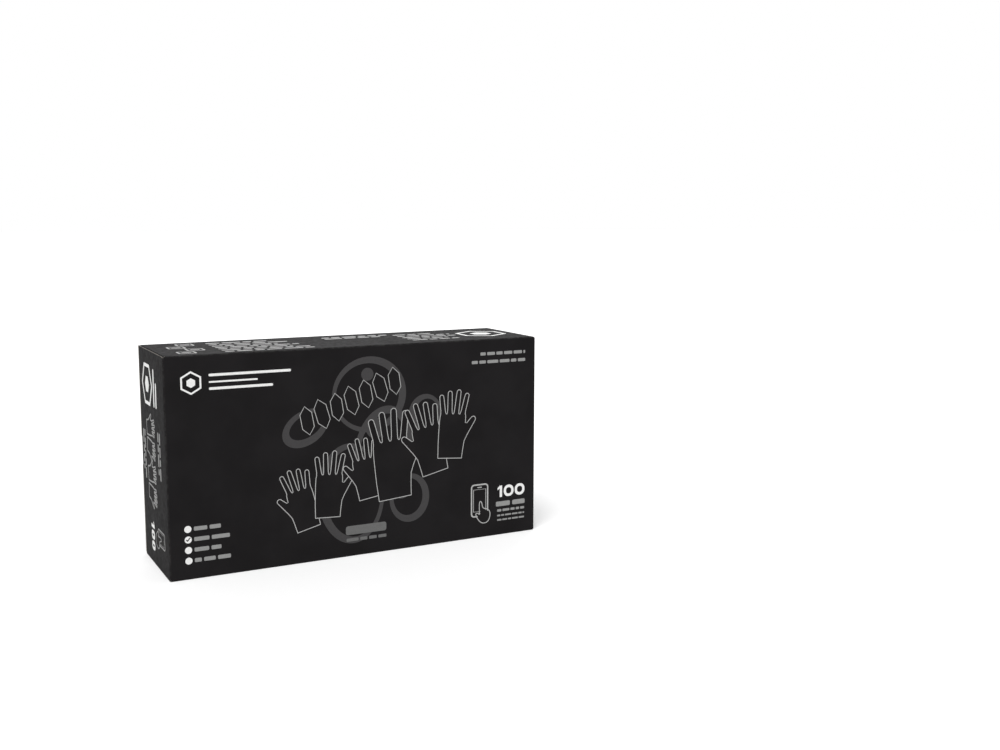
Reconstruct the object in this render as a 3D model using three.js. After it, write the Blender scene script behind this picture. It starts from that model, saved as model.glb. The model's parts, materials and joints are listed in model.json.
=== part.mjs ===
// A carton of 100 disposable gloves: a tuck-end paperboard box standing on its long
// narrow side, with a perforated dispensing window in its back, and the gloves packed
// flat inside it.
//
// Millimetres. +X runs along the carton, +Y from its front to its back, +Z up. The
// origin is the middle of the underside.
import * as THREE from "three";

// The carton, outside measures.
const LENGTH = 240;
const DEPTH = 66;
const HEIGHT = 130;
const BOARD = 0.5; // the thickness of the paperboard
const FOLD_GAP = 0.25; // between boards that lie on each other

// The end closures. Each is hinged on the front panel, and its tuck goes in at the back.
const TUCK_LENGTH = 14;
const TUCK_CORNER = 7;
const TUCK_INSET = 2; // from the closure's upper and lower edges
const TUCK_LEAN = THREE.MathUtils.degToRad(7); // it leans in, away from the back panel
const DUST_LENGTH = 40;
const DUST_FRONT_SLOPE = 0.5; // what the front edge gives way for each mm of length
const DUST_BACK_SLOPE = 0.12;
const DUST_BACK_INSET = 2; // keeps the flap out of the tuck's path
const FINGER_NOTCH = 9; // radius of the notch behind each tuck

// The dispensing window, a slot with round ends that opens about its upper edge.
const WINDOW_WIDTH = 124;
const WINDOW_HEIGHT = 60;
const WINDOW_MIDDLE = 65; // height of its middle above the underside
const PERFORATION = 0.25; // the width of the cut round the flap
const THUMB_RADIUS = 9.5;
const THUMB_CUT = 0.3;

// The glued seam along the lower back edge.
const SEAM_WIDTH = 18;
const SEAM_END_INSET = 3.5; // from the carton's ends
const SEAM_TAPER = 5; // what each end gives way over the seam's width
const GLUE = 0.25;
const GLUE_MARGIN = 3;

// The gloves, laid flat, their fingers along the carton.
const GLOVE_LENGTH = 230;
const GLOVE_PITCH = 0.54; // one glove, two walls of film and the air between them
const GLOVES_IN_LAYER = 5;
const LAYERS = 18;
const LOOSE_GLOVES = 10; // the ones nearest the window
const LAYER_GAP = 0.12;
const STACK_START = 0.5; // from the inside of the front panel to the first layer
const CUFF_WIDTH = 88;
const PALM_WIDTH = 96;
const PALM_LENGTH = 150; // from the cuff to the roots of the fingers
const FINGER_REACH = [62, 75, 80, 70]; // from the roots to each fingertip, little finger first
const FINGER_SLIT = 3;
const THUMB_REACH = 18; // how far the thumb stands out of the palm's side
const THUMB_TIP = 11; // radius

const X = new THREE.Vector3(1, 0, 0);
const Y = new THREE.Vector3(0, 1, 0);
const Z = new THREE.Vector3(0, 0, 1);

const printedBoard = new THREE.MeshStandardMaterial({ color: 0x232122, roughness: 0.55, metalness: 0 });
const dryGlue = new THREE.MeshStandardMaterial({ color: 0xd8cfa8, roughness: 0.4, metalness: 0 });
const nitrile = new THREE.MeshStandardMaterial({ color: 0x2c2c2c, roughness: 0.5, metalness: 0 });

// A flat piece of one thickness. Its outline lies along the axes `across` and `up`,
// and its thickness runs along across x up.
function flatPiece(name, outline, thickness, across, up, material, curveSegments = 8) {
  const geometry = new THREE.ExtrudeGeometry(outline, { depth: thickness, bevelEnabled: false, curveSegments });
  const mesh = new THREE.Mesh(geometry, material);
  mesh.name = name;
  const outward = new THREE.Vector3().crossVectors(across, up);
  mesh.quaternion.setFromRotationMatrix(new THREE.Matrix4().makeBasis(across, up, outward));
  return mesh;
}

function polygon(points) {
  return new THREE.Shape(points.map(([x, y]) => new THREE.Vector2(x, y)));
}

function rectangle(x0, x1, y0, y1) {
  return polygon([[x0, y0], [x1, y0], [x1, y1], [x0, y1]]);
}

// The front panel runs to the creases of the end closures.
function frontPanel() {
  const end = LENGTH / 2 - BOARD;
  const outline = rectangle(-end, end, BOARD, HEIGHT - BOARD);
  const mesh = flatPiece("front_panel", outline, BOARD, X, Z, printedBoard);
  mesh.position.y = -DEPTH / 2 + BOARD;
  return mesh;
}

// The top and bottom panels stop short of the closures, at the creases of the dust flaps.
function narrowPanel(name, bottom) {
  const end = LENGTH / 2 - BOARD - FOLD_GAP - BOARD;
  const outline = rectangle(-end, end, -DEPTH / 2, DEPTH / 2);
  const mesh = flatPiece(name, outline, BOARD, X, Y, printedBoard);
  mesh.position.z = bottom;
  return mesh;
}

function windowOutline() {
  const radius = WINDOW_HEIGHT / 2;
  const straight = (WINDOW_WIDTH - WINDOW_HEIGHT) / 2;
  const outline = new THREE.Path();
  outline.absarc(straight, WINDOW_MIDDLE, radius, -Math.PI / 2, Math.PI / 2, false);
  outline.absarc(-straight, WINDOW_MIDDLE, radius, Math.PI / 2, (3 * Math.PI) / 2, false);
  return outline;
}

// The back panel has the window, and a finger notch at each end over the tuck.
function backPanel() {
  const end = LENGTH / 2;
  const middle = HEIGHT / 2;
  const outline = new THREE.Shape();
  outline.moveTo(-end, BOARD);
  outline.lineTo(end, BOARD);
  outline.lineTo(end, middle - FINGER_NOTCH);
  outline.absarc(end, middle, FINGER_NOTCH, (3 * Math.PI) / 2, Math.PI / 2, true);
  outline.lineTo(end, HEIGHT - BOARD);
  outline.lineTo(-end, HEIGHT - BOARD);
  outline.lineTo(-end, middle + FINGER_NOTCH);
  outline.absarc(-end, middle, FINGER_NOTCH, Math.PI / 2, -Math.PI / 2, true);
  outline.holes.push(windowOutline());
  const mesh = flatPiece("back_panel", outline, BOARD, X, Z, printedBoard, 12);
  mesh.position.y = DEPTH / 2;
  return mesh;
}

// The flap fills the window. Its straight upper edge is the crease, and its lower
// edge has a round notch for the thumb tab.
function windowFlap() {
  const radius = WINDOW_HEIGHT / 2 - PERFORATION;
  const straight = (WINDOW_WIDTH - WINDOW_HEIGHT) / 2;
  const crease = WINDOW_MIDDLE + WINDOW_HEIGHT / 2;
  const foot = WINDOW_MIDDLE - WINDOW_HEIGHT / 2;
  const notch = THUMB_RADIUS + THUMB_CUT;
  const rise = Math.asin(PERFORATION / notch); // where the notch meets the lower cut
  const outline = new THREE.Shape();
  outline.moveTo(straight, crease);
  outline.lineTo(-straight, crease);
  outline.absarc(-straight, WINDOW_MIDDLE, radius, Math.PI / 2, (3 * Math.PI) / 2, false);
  outline.absarc(0, foot, notch, Math.PI - rise, rise, true);
  outline.absarc(straight, WINDOW_MIDDLE, radius, -Math.PI / 2, Math.PI / 2, false);
  const mesh = flatPiece("window_flap", outline, BOARD, X, Z, printedBoard, 12);
  mesh.position.y = DEPTH / 2;
  return mesh;
}

// The thumb tab stays on the back panel, at the window's lower edge, and folds inwards.
function thumbTab() {
  const foot = WINDOW_MIDDLE - WINDOW_HEIGHT / 2;
  const outline = new THREE.Shape();
  outline.moveTo(THUMB_RADIUS, foot);
  outline.absarc(0, foot, THUMB_RADIUS, 0, Math.PI, false);
  const mesh = flatPiece("thumb_tab", outline, BOARD, X, Z, printedBoard, 12);
  mesh.position.y = DEPTH / 2;
  return mesh;
}

// The seam flap is the back panel's fifth strip, glued down inside the bottom panel.
function seamFlap() {
  const end = LENGTH / 2 - SEAM_END_INSET;
  const back = DEPTH / 2 - BOARD;
  const outline = polygon([
    [-end, back],
    [-end + SEAM_TAPER, back - SEAM_WIDTH],
    [end - SEAM_TAPER, back - SEAM_WIDTH],
    [end, back],
  ]);
  const mesh = flatPiece("side_seam_flap", outline, BOARD, X, Y, printedBoard);
  mesh.position.z = BOARD + GLUE;
  return mesh;
}

function seamGlue() {
  const end = LENGTH / 2 - SEAM_END_INSET - SEAM_TAPER - GLUE_MARGIN;
  const back = DEPTH / 2 - BOARD - GLUE_MARGIN;
  const outline = rectangle(-end, end, back - SEAM_WIDTH + 2 * GLUE_MARGIN, back);
  const mesh = flatPiece("seam_glue_strip", outline, GLUE, X, Y, dryGlue);
  mesh.position.z = BOARD;
  return mesh;
}

// One end of the carton, made for the end at -X: the closure panel, its tuck and the
// two dust flaps that lie under it.
function endClosure(side) {
  const end = -LENGTH / 2;
  const front = -DEPTH / 2;
  const tuckLine = DEPTH / 2 - BOARD - FOLD_GAP - BOARD;
  const group = new THREE.Group();

  const panel = rectangle(front, tuckLine + BOARD, FOLD_GAP, HEIGHT - FOLD_GAP);
  const closure = flatPiece(`${side}_closure_panel`, panel, BOARD, Y, Z, printedBoard);
  closure.position.x = end;
  group.add(closure);

  const tuckBottom = TUCK_INSET;
  const tuckTop = HEIGHT - tuckBottom;
  const tuckOutline = new THREE.Shape();
  tuckOutline.moveTo(0, tuckBottom);
  tuckOutline.lineTo(TUCK_LENGTH - TUCK_CORNER, tuckBottom);
  tuckOutline.absarc(TUCK_LENGTH - TUCK_CORNER, tuckBottom + TUCK_CORNER, TUCK_CORNER, -Math.PI / 2, 0, false);
  tuckOutline.absarc(TUCK_LENGTH - TUCK_CORNER, tuckTop - TUCK_CORNER, TUCK_CORNER, 0, Math.PI / 2, false);
  tuckOutline.lineTo(0, tuckTop);
  const tuck = flatPiece(`${side}_tuck_flap`, tuckOutline, BOARD, X, Z, printedBoard);
  tuck.position.y = BOARD; // the outline's plane is the tuck's outer face
  const tuckCrease = new THREE.Group();
  tuckCrease.position.set(end + BOARD, tuckLine, 0);
  tuckCrease.rotation.z = -TUCK_LEAN;
  tuckCrease.add(tuck);
  group.add(tuckCrease);

  // A dust flap, its crease at z = 0 and its length along +Z.
  const dustOutline = polygon([
    [front + BOARD + FOLD_GAP, 0],
    [tuckLine - DUST_BACK_INSET + FOLD_GAP, 0],
    [tuckLine - DUST_BACK_INSET + FOLD_GAP - DUST_BACK_SLOPE * DUST_LENGTH, DUST_LENGTH],
    [front + BOARD + FOLD_GAP + DUST_FRONT_SLOPE * DUST_LENGTH, DUST_LENGTH],
  ]);
  const dustPlane = end + BOARD + FOLD_GAP;
  const lowerDust = flatPiece(`${side}_lower_dust_flap`, dustOutline, BOARD, Y, Z, printedBoard);
  lowerDust.position.x = dustPlane;
  group.add(lowerDust);
  const upperDust = flatPiece(`${side}_upper_dust_flap`, dustOutline, BOARD, Y, Z, printedBoard);
  upperDust.position.x = dustPlane;
  upperDust.position.z = HEIGHT;
  upperDust.scale.y = -1; // its length runs down
  group.add(upperDust);
  return group;
}

// A flat glove seen from its side of the stack: the cuff at -X, the fingers at +X and
// the thumb along the palm's upper side.
function gloveOutline() {
  const cuff = -GLOVE_LENGTH / 2;
  const palm = cuff + PALM_LENGTH / 3; // where the cuff has widened to the palm
  const roots = cuff + PALM_LENGTH;
  const middle = -THUMB_REACH / 2;
  const low = middle - PALM_WIDTH / 2;
  const high = middle + PALM_WIDTH / 2;
  const fingerWidth = PALM_WIDTH / 4;
  const tip = (fingerWidth - FINGER_SLIT) / 2;
  const outline = new THREE.Shape();
  outline.moveTo(cuff, middle - CUFF_WIDTH / 2);
  outline.lineTo(palm, low + FINGER_SLIT / 2);
  FINGER_REACH.forEach((length, i) => {
    const line = low + fingerWidth * (i + 0.5);
    outline.absarc(roots + length - tip, line, tip, -Math.PI / 2, Math.PI / 2, false);
    if (i < FINGER_REACH.length - 1) {
      outline.lineTo(roots, line + fingerWidth / 2);
    }
  });
  outline.lineTo(roots, high);
  outline.absarc(roots - 2 * THUMB_TIP, high + THUMB_REACH - THUMB_TIP, THUMB_TIP, 0, Math.PI / 2, false);
  outline.lineTo(palm, high);
  outline.lineTo(cuff, middle + CUFF_WIDTH / 2);
  return outline;
}

// The stack, from the front panel towards the window. Every other piece is turned end
// for end, as they are packed.
function gloveStack() {
  const group = new THREE.Group();
  const outline = gloveOutline();
  let face = -DEPTH / 2 + BOARD + STACK_START;
  const add = (name, gloves, turned) => {
    const thickness = gloves * GLOVE_PITCH - LAYER_GAP;
    const across = turned ? X.clone().negate() : X;
    const up = turned ? Z.clone().negate() : Z;
    const mesh = flatPiece(name, outline, thickness, across, up, nitrile, 5);
    mesh.position.set(0, face + thickness, HEIGHT / 2);
    group.add(mesh);
    face += gloves * GLOVE_PITCH;
  };
  for (let i = LAYERS; i > 0; i--) {
    add(`glove_layer_${String(i).padStart(2, "0")}`, GLOVES_IN_LAYER, i % 2 === 1);
  }
  for (let i = LOOSE_GLOVES; i > 0; i--) {
    add(`glove_${String(i).padStart(2, "0")}`, 1, i % 2 === 0);
  }
  return group;
}

const gloveBox = new THREE.Group();
gloveBox.add(frontPanel());
gloveBox.add(backPanel());
gloveBox.add(narrowPanel("top_panel", HEIGHT - BOARD));
gloveBox.add(narrowPanel("bottom_panel", 0));
gloveBox.add(seamFlap());
gloveBox.add(seamGlue());
gloveBox.add(windowFlap());
gloveBox.add(thumbTab());
gloveBox.add(endClosure("left"));
const rightEnd = endClosure("right");
rightEnd.scale.x = -1;
gloveBox.add(rightEnd);
gloveBox.add(gloveStack());

export default gloveBox;
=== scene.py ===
"""Looks of the carton of disposable gloves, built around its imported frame.

Shapes are worked out in millimetres, in the frame's axes: +X along the carton, +Y from
the printed front to the back with the window, +Z up. make_piece() turns them to metres.
"""
import json
import math
import random

import bpy
import numpy as np
from mathutils import Matrix, Quaternion, Vector, noise
from mathutils.geometry import delaunay_2d_cdt


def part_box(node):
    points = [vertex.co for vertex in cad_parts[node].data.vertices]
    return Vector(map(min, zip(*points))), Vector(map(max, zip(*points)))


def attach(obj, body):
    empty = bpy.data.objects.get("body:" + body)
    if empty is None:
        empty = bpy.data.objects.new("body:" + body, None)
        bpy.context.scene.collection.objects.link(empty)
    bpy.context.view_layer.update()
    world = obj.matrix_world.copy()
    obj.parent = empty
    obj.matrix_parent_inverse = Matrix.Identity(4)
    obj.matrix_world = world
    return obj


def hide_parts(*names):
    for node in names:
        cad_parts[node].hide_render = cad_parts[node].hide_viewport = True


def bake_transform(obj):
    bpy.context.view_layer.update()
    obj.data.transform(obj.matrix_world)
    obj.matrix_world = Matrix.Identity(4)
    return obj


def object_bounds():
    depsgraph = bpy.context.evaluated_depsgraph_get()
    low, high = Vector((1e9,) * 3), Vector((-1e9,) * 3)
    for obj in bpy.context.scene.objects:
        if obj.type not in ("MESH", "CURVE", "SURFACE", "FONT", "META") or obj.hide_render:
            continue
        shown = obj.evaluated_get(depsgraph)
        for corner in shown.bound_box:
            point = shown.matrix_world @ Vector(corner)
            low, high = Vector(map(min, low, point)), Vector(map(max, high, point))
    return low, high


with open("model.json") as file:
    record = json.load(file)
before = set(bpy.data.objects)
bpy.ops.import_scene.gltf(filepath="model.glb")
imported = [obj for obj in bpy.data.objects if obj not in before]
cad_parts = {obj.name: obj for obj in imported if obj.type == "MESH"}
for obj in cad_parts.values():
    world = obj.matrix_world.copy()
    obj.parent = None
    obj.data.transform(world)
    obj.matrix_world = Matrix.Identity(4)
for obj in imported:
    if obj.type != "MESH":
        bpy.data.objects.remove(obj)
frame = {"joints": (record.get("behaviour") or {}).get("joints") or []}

cad_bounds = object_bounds()

MM = 0.001
SIDES = {"left": -1, "right": 1}


def box_mm(node):
    low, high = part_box(node)
    return low / MM, high / MM


# ---- driving dimensions
low, high = (corner / MM for corner in cad_bounds)
LENGTH = high.x - low.x
DEPTH = high.y - low.y
HEIGHT = high.z - low.z
front_low, front_high = box_mm("front_panel")
BOARD = front_high.y - front_low.y
CREASE = 0.8  # outer radius of a folded edge
GRID = 5.0  # spacing of the points in a flat panel
BEND_STEPS = 8  # rows of points round a crease
SAME = 1e-4  # points that are closer than this share of an outline's side are one

JOINTS = {joint["name"]: joint for joint in frame["joints"]}


# ---- folded boards
class Fold:
    """The outer line of a board that is folded round parallel creases.

    The line is straight runs joined by round corners. Every corner turns to the right,
    so the printed face is on the line's left and the board's thickness on its right."""

    def __init__(self, corners, radius=CREASE):
        points = [Vector(corner) for corner in corners]
        self.radius = radius
        self.runs = []
        self.bends = []
        self.parts = []
        length = 0.0
        start = points[0]
        for i in range(1, len(points)):
            direction = (points[i] - points[i - 1]).normalized()
            normal = Vector((-direction.y, direction.x))
            end = points[i]
            if i < len(points) - 1:
                following = (points[i + 1] - points[i]).normalized()
                angle = direction.angle_signed(following)
                end = points[i] - direction * radius * math.tan(angle / 2)
            run = (length, length + (end - start).length)
            self.runs.append(run)
            self.parts.append((*run, "run", start, direction, normal))
            length = run[1]
            if i < len(points) - 1:
                bend = (length, length + radius * angle)
                centre = end - normal * radius
                self.bends.append(bend)
                self.parts.append((*bend, "bend", centre, normal, None))
                length = bend[1]
                start = centre + Vector((-following.y, following.x)) * radius

    def place(self, s, depth):
        """(the point `depth` under the printed face at the length s, the outward normal)"""
        for first, last, kind, origin, vector, normal in self.parts:
            if s <= last:
                break
        if kind == "run":
            return origin + vector * (s - first) - normal * depth, normal
        angle = (s - first) / self.radius
        turned = Matrix.Rotation(-angle, 2) @ vector
        return origin + turned * (self.radius - depth), turned

    def rows(self, low, high, step=GRID):
        """Lengths at which a board from low to high has rows of points."""
        rows = {low, high}
        for first, last, kind, *_ in self.parts:
            rows.update(spaced(first, last, step if kind == "run" else (last - first) / BEND_STEPS))
        return sorted(row for row in rows if low <= row <= high)


def spaced(low, high, step=GRID):
    count = max(1, round((high - low) / step))
    return [low + (high - low) * i / count for i in range(count + 1)]


# ---- flat outlines
def arc(cx, cy, radius, first, last, steps=16, radius_y=None):
    """Points of an arc, its angles in degrees."""
    radius_y = radius_y or radius
    angles = [math.radians(first + (last - first) * i / steps) for i in range(steps + 1)]
    return [(cx + radius * math.cos(a), cy + radius_y * math.sin(a)) for a in angles]


def rectangle(x0, x1, y0, y1):
    return [(x0, y0), (x1, y0), (x1, y1), (x0, y1)]


def round_rectangle(x0, x1, y0, y1, radius, steps=5):
    corners = [(x1 - radius, y0 + radius, -90), (x1 - radius, y1 - radius, 0),
               (x0 + radius, y1 - radius, 90), (x0 + radius, y0 + radius, 180)]
    loop = []
    for cx, cy, first in corners:
        loop += arc(cx, cy, radius, first, first + 90, steps)
    return loop


def polygon(cx, cy, radius, sides, turn=0.0):
    return arc(cx, cy, radius, turn, turn + 360, sides)[:-1]


def smoothed(loop, rounds=2):
    """Cuts the loop's corners, again and again, until it is a smooth curve."""
    for _ in range(rounds):
        cut = []
        for (ax, ay), (bx, by) in zip(loop, [*loop[1:], loop[0]]):
            for share in (0.25, 0.75):
                cut.append((ax * (1 - share) + bx * share, ay * (1 - share) + by * share))
        loop = cut
    return loop


def moved(loop, x, y, turn=0.0, scale=1.0):
    c, s = math.cos(math.radians(turn)) * scale, math.sin(math.radians(turn)) * scale
    return [(x + px * c - py * s, y + px * s + py * c) for px, py in loop]


def band(loop, width):
    """A closed line of the given width round the loop: its outer and inner outline."""
    count = len(loop)
    sides = [[], []]
    for i in range(count):
        before, after = Vector(loop[i - 1]), Vector(loop[(i + 1) % count])
        along = (after - before).normalized()
        for side, out in zip(sides, (width / 2, -width / 2)):
            side.append((loop[i][0] + along.y * out, loop[i][1] - along.x * out))
    return sides


def ellipse(cx, cy, radius_x, radius_y, turn):
    return moved(arc(0, 0, radius_x, 0, 360, 64, radius_y)[:-1], cx, cy, turn)


# ---- filling an outline
def segments(loops):
    starts = np.concatenate([np.array(loop, float) for loop in loops])
    ends = np.concatenate([np.roll(np.array(loop, float), -1, axis=0) for loop in loops])
    return starts, ends


def inside(points, loops):
    starts, ends = segments(loops)
    x, y = points[:, :1], points[:, 1:]
    crosses = (starts[:, 1] > y) != (ends[:, 1] > y)
    rise = ends[:, 1] - starts[:, 1]
    rise = np.where(rise == 0, 1.0, rise)
    at = starts[:, 0] + (y - starts[:, 1]) * (ends[:, 0] - starts[:, 0]) / rise
    return (crosses & (x < at)).sum(axis=1) % 2 == 1


def clearance(points, loops):
    """How far each point is from the nearest outline."""
    starts, ends = segments(loops)
    along = ends - starts
    square = np.maximum((along**2).sum(axis=1), 1e-12)
    nearest = np.full(len(points), np.inf)
    for start, vector, size in zip(starts, along, square):
        share = np.clip(((points - start) @ vector) / size, 0, 1)
        gap = points - start - share[:, None] * vector
        nearest = np.minimum(nearest, np.hypot(gap[:, 0], gap[:, 1]))
    return nearest


def split(loop, us, vs):
    """The loop with a point wherever a grid line crosses it."""
    out = []
    for (ax, ay), (bx, by) in zip(loop, [*loop[1:], loop[0]]):
        shares = {0.0}
        if bx != ax:
            shares.update((u - ax) / (bx - ax) for u in us)
        if by != ay:
            shares.update((v - ay) / (by - ay) for v in vs)
        last = None
        for t in sorted(share for share in shares if 0 <= share < 1 - SAME):
            if last is None or t - last > SAME:
                out.append((ax + (bx - ax) * t, ay + (by - ay) * t))
                last = t
    return out


def within(points, shapes):
    """Which points are in any of the shapes, each an outline followed by its holes."""
    found = np.zeros(len(points), bool)
    for shape in shapes:
        found |= inside(points, shape)
    return found


def fill(shapes, us, vs, cuts=()):
    """(points, triangles) that fill the union of the shapes less the cuts, with the
    grid's crossings as inner points."""
    loops = [split(loop, us, vs) for shape in [*shapes, *cuts] for loop in shape]
    grid = np.array([(u, v) for u in us for v in vs], float).reshape(-1, 2)
    if len(grid):
        steps = [np.diff(lines).min() for lines in (us, vs) if len(lines) > 1]
        near = 0.2 * min(steps, default=GRID)
        grid = grid[within(grid, shapes)]
        grid = grid[clearance(grid, loops) > near]
    points = []
    edges = []
    for loop in loops:
        first = len(points)
        count = len(loop)
        points += [Vector(p) for p in loop]
        edges += [(first + i, first + (i + 1) % count) for i in range(count)]
    points += [Vector(p) for p in grid]
    convex_hull = 0
    found = delaunay_2d_cdt(points, edges, [], convex_hull, 1e-5, False)
    flat = np.array([(p.x, p.y) for p in found[0]])
    triangles = np.array([list(face) for face in found[2]])
    centres = flat[triangles].mean(axis=1)
    triangles = triangles[within(centres, shapes) & ~within(centres, cuts)]
    used, renumbered = np.unique(triangles, return_inverse=True)
    return flat[used].tolist(), renumbered.reshape(-1, 3).tolist()


def rim(faces):
    """The directed edges that belong to one face only."""
    edges = {(face[i - 1], face[i]) for face in faces for i in range(len(face))}
    return [edge for edge in edges if (edge[1], edge[0]) not in edges]


# ---- making pieces
def add_object(name, data):
    thing = bpy.data.objects.new(name, data)
    bpy.context.scene.collection.objects.link(thing)
    return thing


def make_piece(name, points, faces, slots, materials, sharp=35):
    """A closed mesh from points in mm. Each point's place at rest is kept in the
    attribute `rest`, which the materials read, so that a pattern moves with the board."""
    mesh = bpy.data.meshes.new(name)
    mesh.from_pydata([tuple(c * MM for c in p) for p in points], [], faces)
    for material in materials:
        mesh.materials.append(material)
    mesh.polygons.foreach_set("material_index", slots)
    mesh.polygons.foreach_set("use_smooth", [True] * len(faces))
    rest = mesh.attributes.new("rest", "FLOAT_VECTOR", "POINT")
    rest.data.foreach_set("vector", [c for v in mesh.vertices for c in v.co])
    mesh.update()
    mesh.set_sharp_from_angle(angle=math.radians(sharp))
    return add_object(name, mesh)


def signed_volume(points, faces):
    total = 0.0
    for face in faces:
        a = Vector(points[face[0]])
        for i in range(1, len(face) - 1):
            total += a.dot(Vector(points[face[i]]).cross(Vector(points[face[i + 1]])))
    return total


def closed(outer, inner, triangles):
    """(points, faces) of a closed sheet: its outer face, its inner face and its walls."""
    count = len(outer)
    faces = [list(t) for t in triangles] + [[i + count for i in reversed(t)] for t in triangles]
    faces += [[b, a, a + count, b + count] for a, b in rim(triangles)]
    return outer + inner, faces


def joined(parts):
    """(points, faces) of all the parts, each turned so that its faces look outwards."""
    points, faces = [], []
    for part_points, part_faces in parts:
        if signed_volume(part_points, part_faces) < 0:
            part_faces = [face[::-1] for face in part_faces]
        faces += [[i + len(points) for i in face] for face in part_faces]
        points += part_points
    return points, faces


def slab(name, shapes, place, thickness, materials, lift=0.0):
    """A sheet of one thickness. shapes are (points, triangles) in the sheet's own plane,
    and place(u, v, depth) bends them into the frame. Its three materials are the outer
    face's, the cut edge's and the inner face's."""
    parts, slots = [], []
    for flat, triangles in shapes:
        outer, inner = ([place(u, v, depth - lift) for u, v in flat] for depth in (0, thickness))
        parts.append(closed(outer, inner, triangles))
        count = len(triangles)
        slots += [0] * count + [2] * count + [1] * (len(parts[-1][1]) - 2 * count)
    return make_piece(name, *joined(parts), slots, materials)


# ---- materials
class Nodes:
    """A short way to write a node material."""

    def __init__(self, name):
        self.material = bpy.data.materials.new(name)
        self.material.use_nodes = True
        self.tree = self.material.node_tree
        self.shader = self.tree.nodes["Principled BSDF"]
        self.place = self.add("ShaderNodeAttribute", attribute_name="rest").outputs["Vector"]

    def add(self, kind, inputs=(), **settings):
        node = self.tree.nodes.new(kind)
        for key, value in settings.items():
            setattr(node, key, value)
        self.feed(node, inputs)
        return node

    def feed(self, node, inputs):
        """Links or sets the node's inputs, by their names or numbers."""
        for key, value in dict(inputs).items():
            if isinstance(value, bpy.types.NodeSocket):
                self.tree.links.new(value, node.inputs[key])
            elif isinstance(value, tuple) and node.inputs[key].type == "RGBA":
                node.inputs[key].default_value = (*value, 1)
            else:
                node.inputs[key].default_value = value

    def math(self, operation, *values):
        return self.add("ShaderNodeMath", enumerate(values), operation=operation).outputs[0]

    def noise(self, scale, detail=4.0, roughness=0.55, stretch=(1, 1, 1)):
        """Noise from 0 to 1; scale is in features per metre."""
        mapped = self.add("ShaderNodeMapping", {"Vector": self.place, "Scale": stretch})
        inputs = {"Vector": mapped.outputs[0], "Scale": scale, "Detail": detail, "Roughness": roughness}
        return self.add("ShaderNodeTexNoise", inputs).outputs["Fac"]

    def between(self, value, low=0.3, high=0.7, out_low=0.0, out_high=1.0):
        """value from low..high to out_low..out_high, smoothly and no further."""
        inputs = {"Value": value, "From Min": low, "From Max": high, "To Min": out_low, "To Max": out_high}
        return self.add("ShaderNodeMapRange", inputs, interpolation_type="SMOOTHSTEP").outputs[0]

    def mix(self, share, a, b):
        return self.add("ShaderNodeMix", {0: share, 6: a, 7: b}, data_type="RGBA").outputs[2]

    def bump(self, *heights):
        """Each height is (value, strength, distance in mm)."""
        normal = None
        for value, strength, distance in heights:
            inputs = {"Height": value, "Strength": strength, "Distance": distance * MM}
            if normal is not None:
                inputs["Normal"] = normal
            normal = self.add("ShaderNodeBump", inputs).outputs[0]
        self.feed(self.shader, {"Normal": normal})

    def finish(self, color, roughness, specular):
        inputs = {"Base Color": color, "Roughness": roughness, "Specular IOR Level": specular}
        self.feed(self.shader, inputs)
        return self.material

    def edge_distance(self):
        """How far a point of the carton's skin is from the nearest of its twelve edges:
        the middle one of its distances to the three pairs of faces."""
        parts = self.add("ShaderNodeSeparateXYZ", {"Vector": self.place}).outputs
        from_middle = (parts[0], parts[1], self.math("SUBTRACT", parts[2], HEIGHT / 2 * MM))
        x, y, z = (self.math("SUBTRACT", size / 2 * MM, self.math("ABSOLUTE", offset))
                   for size, offset in zip((LENGTH, DEPTH, HEIGHT), from_middle))
        smaller = self.math("MINIMUM", x, y)
        larger = self.math("MAXIMUM", x, y)
        return self.math("MAXIMUM", smaller, self.math("MINIMUM", larger, z))


BLACK = (0.0120, 0.0112, 0.0117)
BLACK_WORN = (0.030, 0.029, 0.029)
FIBRE = (0.20, 0.19, 0.18)
COATED_SPECULAR = 0.012


def printed_board():
    """Black ink under a satin varnish: almost even, with the board's faint waviness,
    and rubbed a little along the folded edges."""
    n = Nodes("printed_board")
    cloud = n.noise(35, 3)
    grain = n.noise(2600, 2)
    color = n.mix(n.between(cloud), BLACK, tuple(c * 1.25 for c in BLACK))
    near_edge = n.between(n.edge_distance(), 0.0, 1.3 * MM, 1.0, 0.0)
    rubbed = n.math("MULTIPLY", near_edge, n.between(n.noise(260, 5, 0.7), 0.40, 0.62))
    color = n.mix(rubbed, color, BLACK_WORN)
    cracks = n.math("MULTIPLY", n.between(n.edge_distance(), 0.0, 0.55 * MM, 1.0, 0.0),
                    n.between(n.noise(1500, 3, 0.7), 0.60, 0.70))
    color = n.mix(n.math("MULTIPLY", cracks, 0.7), color, FIBRE)
    roughness = n.between(n.noise(420, 4), 0.25, 0.75, 0.46, 0.60)
    n.bump((grain, 0.10, 0.02), (n.noise(300, 3), 0.06, 0.05), (cloud, 0.20, 0.3))
    return n.finish(color, roughness, specular=COATED_SPECULAR)


def board_inside():
    """Uncoated recycled board: warm grey, with short darker and lighter fibres."""
    n = Nodes("board_inside")
    pulp = n.noise(210, 6, 0.7)
    fibres = n.noise(1400, 3, 0.6, stretch=(1, 3, 3))
    color = n.mix(n.between(pulp), (0.43, 0.405, 0.36), (0.49, 0.46, 0.41))
    color = n.mix(n.between(fibres, 0.62, 0.72), color, (0.20, 0.18, 0.155))
    color = n.mix(n.between(n.noise(900, 2), 0.66, 0.74), color, (0.66, 0.64, 0.60))
    roughness = n.between(fibres, 0.3, 0.7, 0.82, 0.95)
    n.bump((fibres, 0.30, 0.04), (pulp, 0.25, 0.12))
    return n.finish(color, roughness, specular=0.25)


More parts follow.
